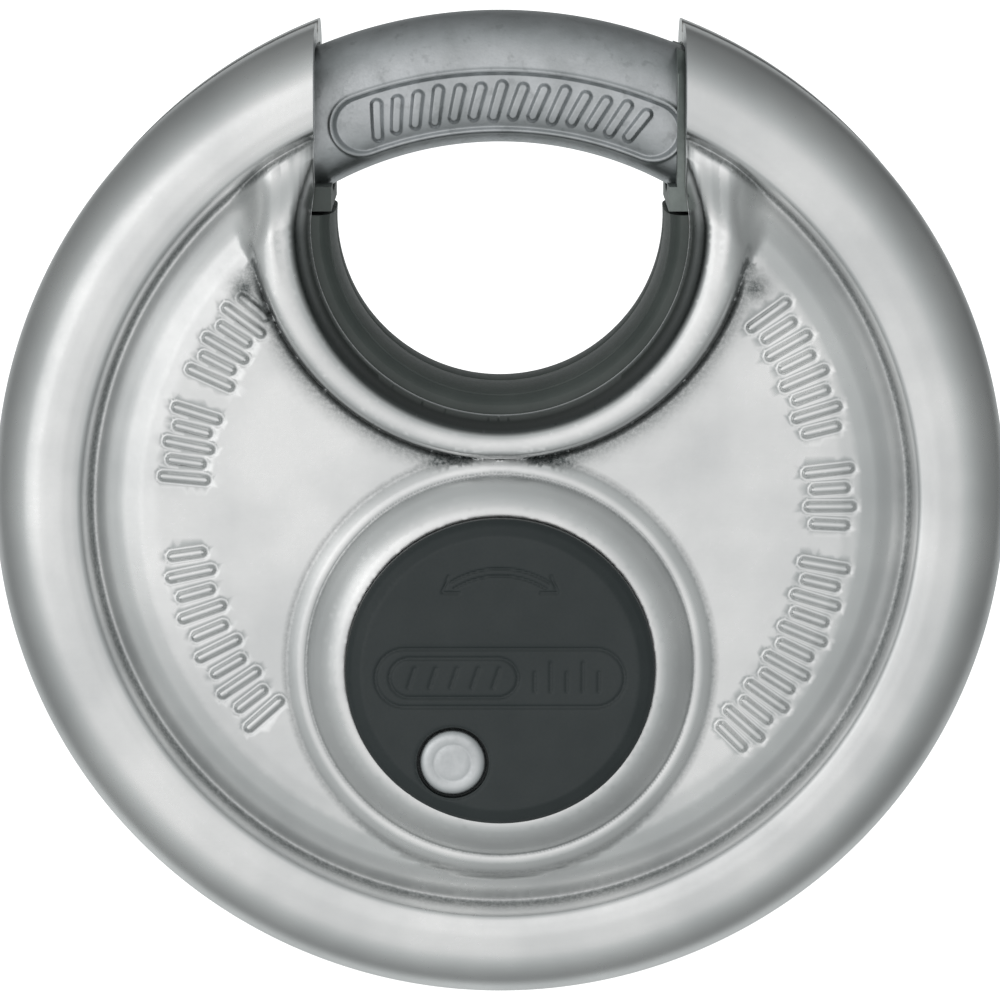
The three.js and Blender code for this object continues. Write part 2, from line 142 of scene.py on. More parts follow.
def build(name, points, faces, flat=(), masks=None):
    """A mesh object from world points. flat lists the flat faces, masks are values for each point."""
    mesh = bpy.data.meshes.new(name)
    mesh.from_pydata([tuple(p) for p in points], [], [list(f) for f in faces])
    smooth = np.ones(len(faces), bool)
    smooth[list(flat)] = False
    mesh.polygons.foreach_set("use_smooth", smooth)
    mesh.update()
    for mask, values in (masks or {}).items():
        layer = mesh.attributes.new(mask, "FLOAT", "POINT")
        layer.data.foreach_set("value", np.asarray(values, np.float32))
    piece = bpy.data.objects.new(name, mesh)
    bpy.context.scene.collection.objects.link(piece)
    return piece


def settle(piece, body, nodes, material):
    piece.data.materials.clear()
    piece.data.materials.append(material)
    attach(piece, body)
    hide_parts(*nodes)
    return piece


def lathe(name, profile, centre=(0, 0), start=0, stop=360, segments=96, sharp=28, ends=None):
    """A turned body from a closed profile of (radius, h) about an axis along Y.

    ends(r) may give half the angle that a part turn spans at a radius.
    """
    whole = stop - start >= 360
    count = segments if whole else segments + 1
    p = np.array(profile, float)
    rows = []
    for j in range(count):
        share = j / segments
        angle = np.radians(start + (stop - start) * share) * np.ones(len(p))
        if ends is not None:
            angle = math.pi - ends(p[:, 0]) * (1 - 2 * share)
        x = centre[0] + p[:, 0] * np.sin(angle)
        z = centre[1] + p[:, 0] * np.cos(angle)
        rows.append(np.stack([x, p[:, 1], z], 1))
    points = to_world(np.concatenate(rows))
    n = len(p)
    faces = []
    for j in range(segments):
        k = (j + 1) % count
        for i in range(n):
            m = (i + 1) % n
            if max(p[i, 0], p[m, 0]) < 1e-6:
                continue
            face = [j * n + i, j * n + m, k * n + m, k * n + i]
            if p[i, 0] < 1e-6:
                face = [j * n + i, j * n + m, k * n + m]
            elif p[m, 0] < 1e-6:
                face = [j * n + i, j * n + m, k * n + i]
            faces.append(face)
    if not whole:
        faces += [list(range(n)), [(count - 1) * n + i for i in range(n)][::-1]]
    piece = build(name, points, faces)
    tidy_mesh(piece, sharp)
    return piece


def tidy_mesh(piece, sharp=28):
    """Merges doubled points, turns the faces outwards and keeps edges over the sharp angle crisp."""
    bpy.context.view_layer.objects.active = piece
    for o in bpy.context.selected_objects:
        o.select_set(False)
    piece.select_set(True)
    bpy.ops.object.mode_set(mode="EDIT")
    bpy.ops.mesh.select_all(action="SELECT")
    bpy.ops.mesh.remove_doubles(threshold=1e-7)
    bpy.ops.mesh.normals_make_consistent(inside=False)
    bpy.ops.object.mode_set(mode="OBJECT")
    bpy.ops.object.shade_smooth_by_angle(angle=math.radians(sharp))
    piece.select_set(False)


def triangulated(loops, inner, keep):
    """Triangles over the region inside the first loop that pass keep(x, z), with the points they use."""
    points = []
    edges = []
    for loop in loops:
        first = len(points)
        points += [tuple(p) for p in loop]
        edges += [(first + i, first + (i + 1) % len(loop)) for i in range(len(loop))]
    fixed = len(points)
    taken = {}
    cell = 0.09
    for p in points:
        taken.setdefault((round(p[0] / cell), round(p[1] / cell)), []).append(p)
    for p in inner:
        key = (round(p[0] / cell), round(p[1] / cell))
        near = [q for i in (-1, 0, 1) for j in (-1, 0, 1) for q in taken.get((key[0] + i, key[1] + j), ())]
        if any(math.hypot(p[0] - q[0], p[1] - q[1]) < cell for q in near):
            continue
        taken.setdefault(key, []).append(tuple(p))
        points.append(tuple(p))
    verts, _, faces, origin, _, _ = delaunay_2d_cdt([Vector(p) for p in points], edges, [], 0, 1e-6)
    new = np.full(len(points), -1)
    for i, sources in enumerate(origin):
        for s in sources:
            new[s] = i
    flat = np.array([tuple(v) for v in verts])
    tris = np.array([f for f in faces if len(f) == 3])
    middle = flat[tris].mean(1)
    tris = tris[keep(middle[:, 0], middle[:, 1])]
    a, b, c = (flat[tris[:, i]] for i in range(3))
    area = (b[:, 0] - a[:, 0]) * (c[:, 1] - a[:, 1]) - (c[:, 0] - a[:, 0]) * (b[:, 1] - a[:, 1])
    tris[area < 0] = tris[area < 0][:, ::-1]
    return flat, tris, new[:fixed]


# ---------- the two pressed shells ----------

OUTSIDE = rounded_path(
    [(0, FIELD_H), (26.8, FIELD_H), (28.2, 10.44), (29.6, 10.0), (30.8, 9.38), (31.65, 8.85), (31.95, 8.75)]
    + [(32.2, 9.05), (32.55, 10.15), (33.0, 10.6), (34.4, 10.74)]
    + ellipse_arc(35.7, 5.2, 4.3, 5.52, 90, 0, 24)
    + [(CASE_R, 1.5), (39.2, 0.35)],
    blur=0.16,
)
INSIDE = rounded_path(
    [(0, FIELD_H - WALL), (28.4, FIELD_H - WALL), (29.8, 8.6), (31.6, 7.9), (33.0, 9.05), (34.6, 9.1)]
    + ellipse_arc(34.6, 5, 3.8, 4.1, 90, 0, 9)
    + [(38.4, 0.35)],
    blur=0.1,
)
COLLAR = np.array(
    [(HOLE_R, 12.0), (11.4, 12.42), (11.8, 12.68), (12.3, 12.78), (12.8, 12.7), (13.4, 12.44)]
    + [(14.0, 12.08), (14.6, 11.62), (15.0, 11.24), (15.2, 11.0), (15.4, 11.1), (15.8, 11.08)]
    + [(16.2, 10.9), (16.6, 10.68), (17.0, 10.35), (17.6, 9.6)]
)
COLLAR_REACH = 18  # beyond this radius round the keyhole the collar leaves the field alone
# Height of the bead by the share of the way from the throat's edge to the valley
BEAD_CROWN = [(0.3, 11.98), (0.38, 12.16), (0.5, 12.27), (0.65, 12.3), (0.78, 12.24), (0.87, 12.08)]
BEAD_CROWN += [(0.93, 11.75), (0.97, 11.2), (1.0, 10.4)]
BEAD = np.array(
    [(0, LIP_H), (0.022, LIP_H + 0.04), (0.05, 8.3), (0.09, 9.6), (0.15, 10.8), (0.22, 11.6)] + BEAD_CROWN
)
SHARP_BEAD = np.array([(0, 11.0), (0.04, 11.4), (0.12, 11.7), (0.2, 11.85)] + BEAD_CROWN)


def soft_table(knots, blur):
    """A table of (x, y) knots with its corners rounded off, as an even row of x and one of y."""
    x = np.linspace(knots[0, 0], knots[-1, 0], 600)
    step = x[1] - x[0]
    half = int(3 * blur / step)
    kernel = np.exp(-0.5 * (np.arange(-half, half + 1) * step / blur) ** 2)
    kernel /= kernel.sum()
    y = np.interp(x, knots[:, 0], knots[:, 1])
    padded = np.concatenate([2 * y[0] - y[half:0:-1], y, 2 * y[-1] - y[-2 : -half - 2 : -1]])
    return x, np.convolve(padded, kernel, "valid")


COLLAR_TABLE = soft_table(COLLAR, 0.07)
BEAD_TABLE = soft_table(BEAD, 0.014)
SHARP_TABLE = soft_table(SHARP_BEAD, 0.014)


def mouth_half(z):
    """Half-width of the throat above its round bottom."""
    return THROAT_R - (THROAT_R - MOUTH_R) * ramp(THROAT_Z, 25.5, z)


def off_throat(x, z):
    """How far points lie outside the edge of the throat."""
    return np.where(z < THROAT_Z, np.hypot(x, z - THROAT_Z) - THROAT_R, np.abs(x) - mouth_half(z))


def in_valley(x, z):
    """How far points lie inside the outer edge of the bead."""
    return VALLEY_R - np.where(z < BEAD_Z, np.hypot(x, z - BEAD_Z), np.abs(x))


MARK_H = 0.3  # how far the pressed dashes stand up
MARK_HALF = 0.31  # half their width


def mark_row(radius, start, stop, groups, length):
    """Ticks pressed along an arc: (angle, radius, half length), in groups with a gap between them."""
    count = sum(groups)
    gap = 1.3
    pitch = (stop - start) / (count - 1 + gap * (len(groups) - 1))
    angle = start
    rows = []
    for group in groups:
        for i in range(group):
            rows.append((math.radians(angle), radius, length / 2 * (1 if i % 2 == 0 else 0.72)))
            angle += pitch
        angle += pitch * gap
    return rows


MARKS = mark_row(24.8, -131.5, -98.5, (10,), 3.2) + mark_row(24.8, -84.5, -50.5, (5, 6), 3.3)
MARKS += mark_row(25.8, 54.0, 135.0, (8, 4, 12), 3.3)


def marks_height(x, z):
    total = np.zeros(len(x))
    for angle, radius, half in MARKS:
        s, c = math.sin(angle), math.cos(angle)
        near = np.hypot(x - radius * s, z - radius * c) < half + 1
        if not near.any():
            continue
        low, high = radius - half, radius + half
        d = capsule(x[near], z[near], low * s, low * c, high * s, high * c)
        raised = MARK_H * (1 - ramp(MARK_HALF - 0.16, MARK_HALF + 0.1, d))
        sunk = 0.07 * np.exp(-(((d - MARK_HALF - 0.22) / 0.14) ** 2))
        total[near] += raised - sunk
    return total


def soft_max(a, b, blend):
    """The larger of two, rounded where they come closer than blend."""
    return np.maximum(a, b) + np.maximum(blend - np.abs(a - b), 0) ** 2 / (4 * blend)


def shell_surface(side):
    """The outside of a shell as a function from its flat layout (a, b) to points (x, h, z)."""

    def surface(a, b):
        rho = np.maximum(np.hypot(a, b), 1e-9)
        r = np.interp(rho, OUTSIDE[0], OUTSIDE[1])
        h = np.interp(rho, OUTSIDE[0], OUTSIDE[2])
        x, z = a / rho * r, b / rho * r
        to, tv = off_throat(x, z), in_valley(x, z)
        u = np.clip(to / np.maximum(to + tv, 1e-6), 0, 1)
        edge = ramp(23.2, 27.5, z)

        def bead_at(share):
            return np.interp(share, *BEAD_TABLE) * (1 - edge) + np.interp(share, *SHARP_TABLE) * edge

        bead = bead_at(u)
        inside = (tv > -2.6) & (r < 34.2)
        if side < 0:
            crown = np.where(tv > 0, bead, 10.4 + tv * 4)
            roll = bead_at(np.minimum(u, 0.5)) + 3 * np.maximum(u - 0.5, 0)
            soft = -soft_max(-roll, -9.45 - 2.85 * ramp(-2.6, 1.9, tv), 0.5)
            upper = ramp(16.5, 21.5, z)
            crown = crown * (1 - upper) + soft * upper
            crown = crown - 1.8 * ramp(27.6, 31.8, r) - 2.2 * ramp(31.7, 33.6, r)
            turned_in = (to < 0.9) | (u < 0.3)
            under = np.where(turned_in, h * ramp(29, 31, r), h)
            h = np.where(inside, soft_max(under, crown, 0.12 + 0.9 * upper), h)
            h = h - 0.34 * np.exp(-((tv / 0.3) ** 2)) * (1 - ramp(24.5, 27.5, r)) * (z < 30)
            rc = np.hypot(x, z - PLUG_Z)
            collar = np.interp(rc, *COLLAR_TABLE)
            collar = np.where(rc < COLLAR[-1, 0], collar, 9)
            h = np.where(rc < COLLAR_REACH, soft_max(h, collar, 0.16), h)
            h = h + np.where(rho < 30, marks_height(x, z), 0)
        else:
            rim = np.minimum(bead, FIELD_H)
            h = np.where(inside & (u < 0.5) & (rho < 30.4), np.minimum(h, rim), h)
            valley = 0.75 * np.exp(-((tv / 0.7) ** 2)) * (1 - ramp(27.5, 30.2, r))
            h = h - valley * (z < 31)
        return np.stack([x, h, z], 1)

    return surface


def inner_surface(a, b):
    rho = np.maximum(np.hypot(a, b), 1e-9)
    r = np.interp(rho, INSIDE[0], INSIDE[1])
    h = np.interp(rho, INSIDE[0], INSIDE[2])
    x, z = a / rho * r, b / rho * r
    lip = off_throat(x, z) < 1.55
    return np.stack([x, np.where(lip, np.minimum(h, LIP_H), h), z], 1)


SPLIT = 28.9  # the layout radius where the meshed field ends and the rings of the rim begin


def edge_angle(table, rho):
    return np.arcsin(MOUTH_R / np.interp(rho, table[0], table[1]))


def ring_shares(count):
    """Shares of the way round the rim, closer together near the throat."""
    d = np.linspace(0, 1, 4001)
    from_edge = np.minimum(d, 1 - d) * 150
    weight = 1 / (0.24 + 0.42 * ramp(3, 9, from_edge))
    total = np.concatenate([[0], np.cumsum((weight[1:] + weight[:-1]) / 2)])
    return np.interp(np.linspace(0, total[-1], count + 1), total, d)


def ring_points(table, rho, shares):
    start = edge_angle(table, rho)
    angle = start + (2 * math.pi - 2 * start) * shares
    return np.stack([rho * np.sin(angle), rho * np.cos(angle)], 1)


def throat_edge(step):
    """Points down one side of the throat, round its bottom and up the other, without the two top ends."""
    top = math.sqrt(SPLIT**2 - MOUTH_R**2)
    straight = np.arange(top - step, THROAT_Z, -step)
    turn = np.linspace(-90, 90, int(math.pi * THROAT_R / step) + 1)
    left = [(-float(mouth_half(z)), z) for z in straight]
    bottom = []
    for t in turn:
        s, c = math.sin(math.radians(t)), math.cos(math.radians(t))
        bottom.append((THROAT_R * s, THROAT_Z - THROAT_R * c))
    return left + bottom + [(-x, z) for x, z in left[::-1]]


def circle(cx, cz, radius, step, shift=0.0):
    count = int(2 * math.pi * radius / step)
    turn = (np.arange(count) + shift) * 2 * math.pi / count
    return [(cx + radius * math.sin(t), cz + radius * math.cos(t)) for t in turn]


def bead_lines(shares, outside, step):
    """Points on lines along the bead, from the throat's edge to the valley and a little past it."""
    rows = []
    turns = list(np.radians(np.linspace(-90, 90, int(math.pi * 17 / step) + 1)))
    for t in turns:
        s, c = math.sin(t), math.cos(t)
        p = np.array((THROAT_R * s, THROAT_Z - THROAT_R * c))
        q = np.array((VALLEY_R * s, BEAD_Z - VALLEY_R * c))
        rows += [tuple(p + (q - p) * k) for k in shares]
        rows += [tuple(q + (q - p) / np.linalg.norm(q - p) * d) for d in outside]
    for z in np.arange(THROAT_Z + step, SPLIT, step):
        for sign in (-1, 1):
            edge = mouth_half(z)
            rows += [(sign * (edge + (VALLEY_R - edge) * k), z) for k in shares]
            rows += [(sign * (VALLEY_R + d), z) for d in outside]
    return rows


def hex_grid(step, x0, x1, z0, z1):
    rows = []
    for j, z in enumerate(np.arange(z0, z1, step * 0.866)):
        rows += [(x + (j % 2) * step / 2, z) for x in np.arange(x0, x1, step)]
    return rows


def shell(name, side):
    front = side < 0
    hole = [circle(0, PLUG_Z, HOLE_R, 0.45)] if front else []
    shares = ring_shares(480)
    top_arc = ring_points(OUTSIDE, SPLIT, shares)
    outline = [tuple(p) for p in top_arc] + throat_edge(0.4)

    inner = bead_lines(
        (0.012, 0.03, 0.055, 0.09, 0.14, 0.2, 0.27, 0.35, 0.45)
        + (0.57, 0.69, 0.79, 0.86, 0.91, 0.95, 0.98, 1.0),
        (0.1, 0.22, 0.4, 0.65, 0.95, 1.3) if front else (0.2, 0.5, 0.9, 1.4),
        0.3,
    )
    if front:
        radii = [11.3, 11.45, 11.7, 12.1, 12.6, 13.1, 13.6, 14.1, 14.5, 14.8, 14.97, 15.09]
        radii += [15.2, 15.31, 15.43, 15.6, 15.8, 16.0, 16.2, 16.4, 16.6, 16.9, 17.3, 17.7]
        for i, radius in enumerate(radii):
            inner += circle(0, PLUG_Z, radius, 0.28, 0.5 * (i % 2))
        for angle, radius, half in MARKS:
            s, c = math.sin(angle), math.cos(angle)
            for across in (-0.62, -0.48, -0.36, -0.27, -0.17, 0, 0.17, 0.27, 0.36, 0.48, 0.62):
                for along in np.arange(-half - 0.6, half + 0.61, 0.16):
                    r = radius + along
                    inner.append((r * s + across * c, r * c - across * s))
    for radius in (26.6, 27.2, 27.8, 28.4):
        inner += circle(0, 0, radius, 0.6)
    inner += hex_grid(0.75, -29, 29, -29, 29)
    x, z = np.array(inner).T
    rc = np.hypot(x, z - PLUG_Z)
    fits = (np.hypot(x, z) < SPLIT - 0.15) & (off_throat(x, z) > 0.05)
    if front:
        fits &= rc > HOLE_R + 0.05
    inner = np.array(inner)[fits]

    def keep(px, pz):
        good = (off_throat(px, pz) > 0) & (np.hypot(px, pz) < SPLIT)
        return good & (np.hypot(px, pz - PLUG_Z) > HOLE_R) if front else good

    flat, tris, fixed = triangulated([outline] + hole, inner, keep)
    rings = np.concatenate(
        [
            np.linspace(SPLIT, 31.1, 6)[1:],
            np.linspace(31.1, 33.6, 15)[1:],
            np.linspace(33.6, 36.0, 6)[1:],
            np.linspace(36.0, 43.6, 18)[1:],
            np.linspace(43.6, OUTSIDE[0][-1], 5)[1:],
        ]
    )
    layout = [flat]
    grid = [fixed[: len(shares)]]
    count = len(flat)
    for rho in rings:
        layout.append(ring_points(OUTSIDE, rho, shares))
        grid.append(np.arange(count, count + len(shares)))
        count += len(shares)
    layout = np.concatenate(layout)
    surface = shell_surface(side)
    outer_points = surface(layout[:, 0], layout[:, 1])
    normals = differences(surface, layout[:, 0], layout[:, 1])
    faces = [list(t) for t in tris]
    for lower, upper in zip(grid[:-1], grid[1:]):
        faces += [[lower[j], upper[j], upper[j + 1], lower[j + 1]] for j in range(len(shares) - 1)]
    smooth_count = len(faces)

    coarse = 8
    inner_shares = shares[::coarse]
    inner_arc = ring_points(INSIDE, SPLIT, inner_shares)
    inner_outline = [tuple(p) for p in inner_arc] + throat_edge(0.4)
    fill = bead_lines((0.4,), (), 1.2) + hex_grid(2.6, -28, 28, -28, 28)
    x, z = np.array(fill).T
    fits = (np.hypot(x, z) < SPLIT - 0.5) & (off_throat(x, z) > 0.5)
    if front:
        fits &= np.hypot(x, z - PLUG_Z) > HOLE_R + 0.5
    back_flat, back_tris, back_fixed = triangulated([inner_outline] + hole, np.array(fill)[fits], keep)
    back_layout = [back_flat]
    back_grid = [back_fixed[: len(inner_shares)] + count]
    start = count + len(back_flat)
    for rho in np.linspace(SPLIT, INSIDE[0][-1], 12)[1:]:
        back_layout.append(ring_points(INSIDE, rho, inner_shares))
        back_grid.append(np.arange(start, start + len(inner_shares)))
        start += len(inner_shares)
    back_layout = np.concatenate(back_layout)
    back_points = inner_surface(back_layout[:, 0], back_layout[:, 1])
    faces += [[i + count for i in t[::-1]] for t in back_tris]
    for lower, upper in zip(back_grid[:-1], back_grid[1:]):
        faces += [[lower[j + 1], upper[j + 1], upper[j], lower[j]] for j in range(len(inner_shares) - 1)]

    # The cut edges: round the throat, round the keyhole, at the two mouths and along the seam.
    arc, back_arc = len(shares), len(inner_shares)
    around = list(fixed[arc - 1 : len(outline)]) + [fixed[0]]
    behind = [i + count for i in back_fixed[back_arc - 1 : len(inner_outline)]] + [back_fixed[0] + count]
    faces += [[around[i], around[i + 1], behind[i + 1], behind[i]] for i in range(len(around) - 1)]
    if front:
        top = list(fixed[len(outline) :])
        low = [i + count for i in back_fixed[len(inner_outline) :]]
        n = len(top)
        faces += [[top[i], top[(i + 1) % n], low[(i + 1) % n], low[i]] for i in range(n)]
    for end in (0, -1):
        rim = [g[end] for g in grid] + [g[end] for g in back_grid[::-1]]
        faces.append(rim if end == 0 else rim[::-1])
    for j in range(len(inner_shares) - 1):
        seam = list(grid[-1][j * coarse : (j + 1) * coarse + 1])
        faces.append(seam + [back_grid[-1][j + 1], back_grid[-1][j]])

    points = np.concatenate([outer_points, back_points])
    all_normals = np.full(points.shape, np.nan)
    facing = normals * np.array([1, side, 1])
    rho = np.hypot(layout[:, 0], layout[:, 1])
    safe = np.maximum(rho, 1e-6)
    away = np.stack([layout[:, 0] / safe, side * (rho < 36), layout[:, 1] / safe], 1)
    away[rho < 33, ::2] = 0
    turn = np.sign((facing * away).sum(1))
    all_normals[: len(facing)] = facing * np.where(turn == 0, 1, turn)[:, None]
    tv = in_valley(outer_points[:, 0], outer_points[:, 2])
    crease_shade_and_grime, lip = np.zeros(len(points)), np.zeros(len(points))
    if front:
        rc = np.hypot(outer_points[:, 0], outer_points[:, 2] - PLUG_Z)
        x, z = outer_points[:, 0], outer_points[:, 2]
        # This mask paints shade into the colour. It darkens the bead's outer crease, two corners by the mouth,
        # the rim groove and two rings round the collar. It is painted shade in creases and grooves, which the
        # material mottles to look like grime.
        outside_bead = np.exp(-((np.minimum(tv + 0.2, 0) / 1.0) ** 2)) * (tv < 0.22)
        near_collar = np.exp(-((np.maximum(rc - 16.2, 0) / 1.8) ** 2))
        bridge = np.exp(-((x / 2.2) ** 4)) * (z < 8)
        crease = outside_bead * (0.72 + 0.28 * near_collar) * (rc > 16.2) * (rho < 27.5) * (1 - bridge)
        corner = 0.95 * np.exp(-(((np.abs(x) - 19.8) ** 2 + (z - 17.3) ** 2) / 1.05**2)) * (tv < 0.3)
        radius = np.hypot(x, z)
        groove = 0.72 * np.exp(-(((radius - 32.1) / 0.31) ** 2)) * (outer_points[:, 1] < 10.3)
        rings = 0.5 * np.exp(-(((rc - 15.2) / 0.16) ** 2)) + 0.45 * np.exp(-(((rc - 16.8) / 0.26) ** 2))
        crease_shade_and_grime[: len(x)] = np.clip(np.maximum(crease, corner) + groove + rings, 0, 1)
        # The lip mask below paints the throat's turned-in lip dark. It is painted shade for the steep inner
        # wall, which would reflect the dark inside of the case.
        to = off_throat(x, z)
        u = np.clip(to / np.maximum(to + tv, 1e-6), 0, 1)
        lip_shade_band = ramp(0.022, 0.06, u) * (1 - ramp(0.24, 0.36, u))
        lip[: len(x)] = lip_shade_band * (1 - ramp(21.0, 26.5, z)) * (rho < 33)
    masks = {"crease_shade_and_grime": crease_shade_and_grime, "lip": lip}
    piece = build(name, to_world(points, side), faces, range(smooth_count, len(faces)), masks)
    tidy_orientation(piece)
    set_normals(piece.data, all_normals)
    return piece


def tidy_orientation(piece):
    """Turns all faces outwards without changing their order."""
    mesh = piece.data
    bpy.context.view_layer.objects.active = piece
    piece.select_set(True)
    bpy.ops.object.mode_set(mode="EDIT")
    bpy.ops.mesh.select_all(action="SELECT")
    bpy.ops.mesh.normals_make_consistent(inside=False)
    bpy.ops.object.mode_set(mode="OBJECT")
    piece.select_set(False)
    mesh.update()


def set_normals(mesh, normals):
    """Gives smooth faces a normal for each point. Flat faces, and points without one, keep the face normal."""
    faces = len(mesh.polygons)
    corner = np.zeros(len(mesh.loops), np.int32)
    mesh.loops.foreach_get("vertex_index", corner)
    totals = np.zeros(faces, np.int32)
    mesh.polygons.foreach_get("loop_total", totals)
    own = np.zeros(faces * 3, np.float32)
    mesh.polygons.foreach_get("normal", own)
    own = np.repeat(own.reshape(-1, 3), totals, axis=0)
    smooth = np.zeros(faces, bool)
    mesh.polygons.foreach_get("use_smooth", smooth)
    smooth = np.repeat(smooth, totals)
    wanted = normals[corner].copy()
    wrong = ~smooth | ~np.isfinite(wanted[:, 0])
    wanted[wrong] = own[wrong]
    flip = (wanted * own).sum(1) < 0
    wanted[flip] *= -1
    mesh.normals_split_custom_set([tuple(n) for n in wanted])


# ---------- materials ----------


class Nodes:
    """A small helper that adds linked shader nodes to one material."""

    def __init__(self, name):
        self.material = bpy.data.materials.new(name)
        self.material.use_nodes = True
        self.tree = self.material.node_tree
        self.shader = self.tree.nodes["Principled BSDF"]
        self.coords = self.mapped((1000, 1000, 1000))

    def add(self, kind, **values):
        node = self.tree.nodes.new(kind)
        for key, value in values.items():
            if hasattr(node, key):
                setattr(node, key, value)
            else:
                node.inputs[key].default_value = value
        return node

    def link(self, out, into):
        self.tree.links.new(out, into)

    def mapped(self, scale):
        source = self.add("ShaderNodeTexCoord")
        mapping = self.add("ShaderNodeMapping")
        mapping.inputs["Scale"].default_value = scale
        self.link(source.outputs["Object"], mapping.inputs["Vector"])
        return mapping.outputs["Vector"]

    def noise(self, scale, detail=3, roughness=0.55, coords=None):
        node = self.add("ShaderNodeTexNoise")
        node.inputs["Scale"].default_value = scale
        node.inputs["Detail"].default_value = detail
        node.inputs["Roughness"].default_value = roughness
        self.link(coords or self.coords, node.inputs["Vector"])
        return node.outputs["Fac"]

    def between(self, value, low, high, out_low, out_high):
        node = self.add("ShaderNodeMapRange")
        limits = {"From Min": low, "From Max": high, "To Min": out_low, "To Max": out_high}
        for key, number in limits.items():
            node.inputs[key].default_value = number
        self.link(value, node.inputs["Value"])
        return node.outputs["Result"]

    def mixed(self, factor, a, b):
        node = self.add("ShaderNodeMix", data_type="RGBA")
        self.link(factor, node.inputs["Factor"])
        for socket, value in ((node.inputs[6], a), (node.inputs[7], b)):
            if isinstance(value, tuple):
                socket.default_value = (*value, 1)
            else:
                self.link(value, socket)
        return node.outputs[2]

    def math(self, operation, a, b):
        node = self.add("ShaderNodeMath", operation=operation)
        for socket, value in zip(node.inputs, (a, b)):
            if isinstance(value, (int, float)):
                socket.default_value = value
            else:
                self.link(value, socket)
        return node.outputs[0]

    def bump(self, height, distance, strength=1.0, below=None):
        node = self.add("ShaderNodeBump")
        node.inputs["Strength"].default_value = strength
        node.inputs["Distance"].default_value = distance
        self.link(height, node.inputs["Height"])
        if below is not None:
            self.link(below, node.inputs["Normal"])
        return node.outputs["Normal"]

    def finish(self, color, roughness, metallic, normal=None):
        if isinstance(color, tuple):
            self.shader.inputs["Base Color"].default_value = (*color, 1)
        else:
            self.link(color, self.shader.inputs["Base Color"])
        self.link(roughness, self.shader.inputs["Roughness"])
        self.shader.inputs["Metallic"].default_value = metallic
        if normal is not None:
            self.link(normal, self.shader.inputs["Normal"])
        return self.material


def pressed_stainless():
    n = Nodes("pressed_stainless")
    cloud = n.noise(0.085, 3)
    fine = n.noise(2.6, 4, 0.6)
    streaks = n.noise(1.0, 3, 0.6, n.mapped((260, 900, 4200)))
    color = n.mixed(n.between(cloud, 0.35, 0.65, 0, 1), (0.84, 0.845, 0.84), (0.70, 0.71, 0.71))
    # This attribute, the front shell's crease and groove mask, darkens the colour towards dark grey and makes
    # the metal rougher and pitted there. It is painted shade in creases and grooves, mottled by noise to look
    # like grime.
    crease_shade_and_grime = n.add("ShaderNodeAttribute", attribute_name="crease_shade_and_grime").outputs["Fac"]
    speck = n.between(n.noise(3.4, 3, 0.7), 0.34, 0.62, 0.6, 1.0)
    shade_and_dirt = n.math("MULTIPLY", crease_shade_and_grime, speck)
    color = n.mixed(shade_and_dirt, color, (0.10, 0.115, 0.115))
    # The lip attribute darkens the throat's turned-in lip: painted shade.
    lip = n.add("ShaderNodeAttribute", attribute_name="lip").outputs["Fac"]
    color = n.mixed(lip, color, (0.115, 0.128, 0.124))
    even = n.math("ADD", n.math("MULTIPLY", cloud, 0.5), n.math("MULTIPLY", fine, 0.5))
    rough = n.between(even, 0.3, 0.7, 0.25, 0.36)
    rough = n.math("ADD", rough, n.math("MULTIPLY", shade_and_dirt, 0.3))
    normal = n.bump(fine, 0.0000032)
    normal = n.bump(streaks, 0.0000022, below=normal)
    normal = n.bump(n.math("MULTIPLY", n.noise(4.5, 2, 0.7), crease_shade_and_grime), 0.000014, below=normal)
    return n.finish(color, rough, 1, normal)


def blasted_shackle():
    n = Nodes("blasted_shackle_steel")
    cloud = n.noise(0.35, 4, 0.6)
    grain = n.noise(5.5, 3, 0.7)
    dull = n.noise(0.9, 3, 0.6)
    color = n.mixed(n.between(cloud, 0.36, 0.64, 0, 1), (0.58, 0.60, 0.615), (0.48, 0.50, 0.51))
    color = n.mixed(n.between(dull, 0.58, 0.74, 0, 0.45), color, (0.27, 0.285, 0.29))
    rough = n.between(grain, 0.3, 0.7, 0.34, 0.5)
    normal = n.bump(grain, 0.000009)
    normal = n.bump(dull, 0.00001, below=normal)
    return n.finish(color, rough, 1, normal)


def moulded(name, color, lighter, rough, grain=4.0, bump=0.000006):
    n = Nodes(name)
    spots = n.noise(grain, 3, 0.6)
    cloud = n.noise(0.3, 2)
    shade = n.mixed(n.between(cloud, 0.35, 0.65, 0, 1), color, lighter)
    roughness = n.between(spots, 0.3, 0.7, rough - 0.05, rough + 0.07)
    return n.finish(shade, roughness, 0, n.bump(spots, bump))


def metal(name, color, darker, rough, grain=3.0, bump=0.000006, stretch=None):
    n = Nodes(name)
    spots = n.noise(grain, 4, 0.6, n.mapped(stretch) if stretch else None)
    cloud = n.noise(0.4, 3)
    shade = n.mixed(n.between(cloud, 0.35, 0.65, 0, 1), color, darker)
    roughness = n.between(spots, 0.3, 0.7, rough - 0.06, rough + 0.08)
    return n.finish(shade, roughness, 1, n.bump(spots, bump))


def weld_metal():
    n = Nodes("weld_steel")
    ripple = n.noise(1.3, 2)
    heat = n.noise(0.25, 2)
    color = n.mixed(n.between(heat, 0.4, 0.6, 0, 1), (0.62, 0.62, 0.61), (0.5, 0.47, 0.42))
    rough = n.between(ripple, 0.3, 0.7, 0.32, 0.5)
    return n.finish(color, rough, 1, n.bump(ripple, 0.00003))


